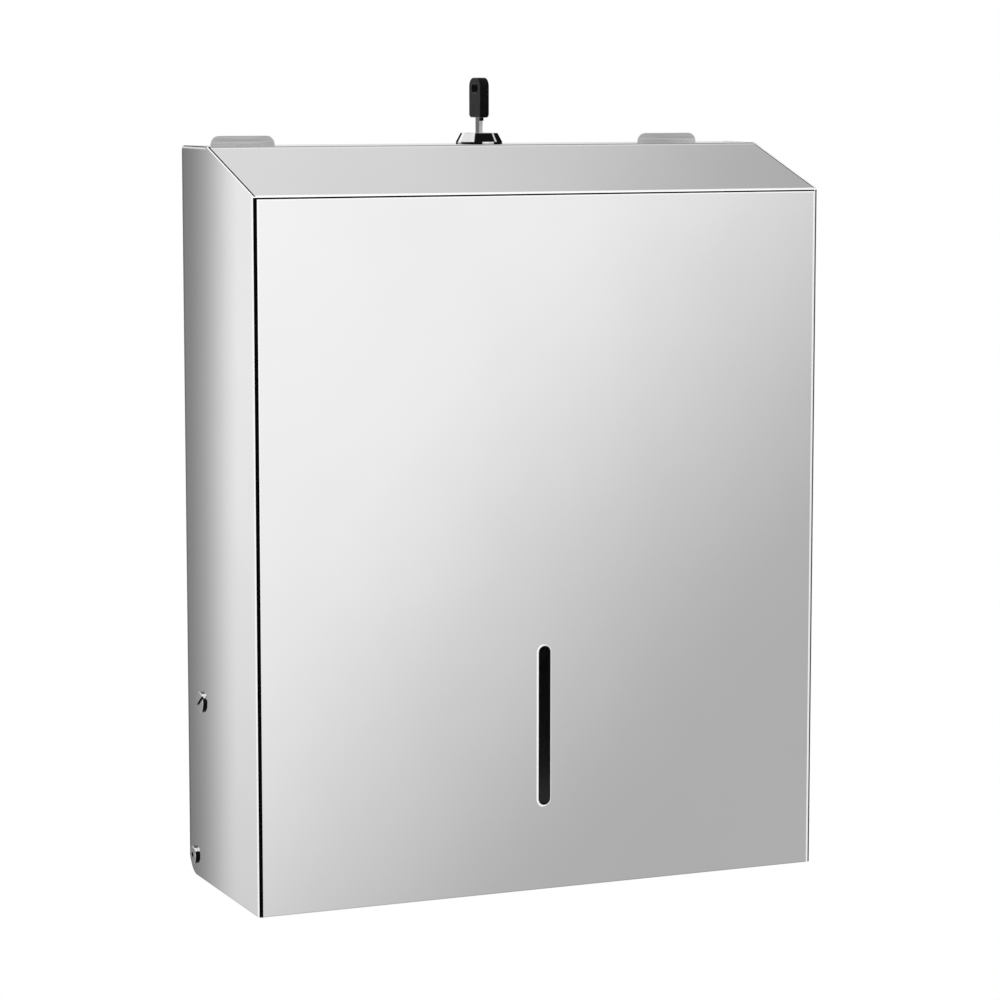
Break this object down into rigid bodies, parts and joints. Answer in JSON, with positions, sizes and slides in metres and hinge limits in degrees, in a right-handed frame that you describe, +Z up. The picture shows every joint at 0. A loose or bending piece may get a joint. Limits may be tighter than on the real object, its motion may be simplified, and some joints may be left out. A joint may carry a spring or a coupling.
{
  "type": "wall-mounted towel dispenser",
  "caption": "Slim rectangular steel dispenser for folded paper towels: polished folded cover with sloped shoulder and viewing slot, tilting open on low pivots, with a keyed cam lock on top.",
  "frame": {"origin": "centre of the four wall screw holes, on the wall plane at the back plate's rear face", "axes": "+X to the right as seen from the room, +Y into the wall, +Z up"},
  "size_m": [0.2778, 0.1, 0.3677],
  "materials": {
    "polished_steel": "mirror-polished stainless sheet",
    "satin_steel": "satin stainless sheet with fine grain",
    "polished_fastener": "polished stainless fastener",
    "plated_steel": "bright zinc plate",
    "lock_chrome": "bright chrome plate on die casting",
    "wafer_brass": "stamped brass",
    "spring_wire": "drawn spring wire",
    "nylon": "natural nylon",
    "key_steel": "nickel-plated steel",
    "key_plastic": "black moulded plastic with a fine satin skin"
  },
  "bodies": {
    "frame": {"back_plate": "satin_steel", "towel_tray": "satin_steel", "left_bracket": "satin_steel", "right_bracket": "satin_steel", "latch_keeper": "satin_steel", "left_pivot_rivet": "polished_fastener", "right_pivot_rivet": "polished_fastener", "left_pivot_washer": "nylon", "right_pivot_washer": "nylon"},
    "cover": {"cover_shell": "polished_steel", "left_stop_screw": "polished_fastener", "right_stop_screw": "polished_fastener", "left_stop_bush": "nylon", "right_stop_bush": "nylon", "left_stop_nut": "plated_steel", "right_stop_nut": "plated_steel", "lock_housing": "lock_chrome", "lock_nut": "plated_steel", "lock_washer": "plated_steel"},
    "lock_core": {"lock_plug": "lock_chrome", "lock_wafers": "wafer_brass", "wafer_springs": "spring_wire", "lock_cam": "plated_steel", "cam_washer": "plated_steel", "cam_screw": "plated_steel"},
    "key": {"key_blade": "key_steel", "key_head": "key_plastic"}
  },
  "joints": [
    {"name": "cover_tilt", "type": "hinge", "parent": "frame", "child": "cover", "pos_m": [0, -0.0095, -0.1609], "axis": [1, 0, 0], "range_deg": [0, 50]},
    {"name": "lock_turn", "type": "hinge", "parent": "cover", "child": "lock_core", "pos_m": [0, -0.0235, 0.167], "axis": [0, 0, -1], "range_deg": [0, 90]},
    {"name": "key_pull", "type": "slide", "parent": "lock_core", "child": "key", "axis": [0, 0, 1], "range_m": [0, 0.022]}
  ]
}
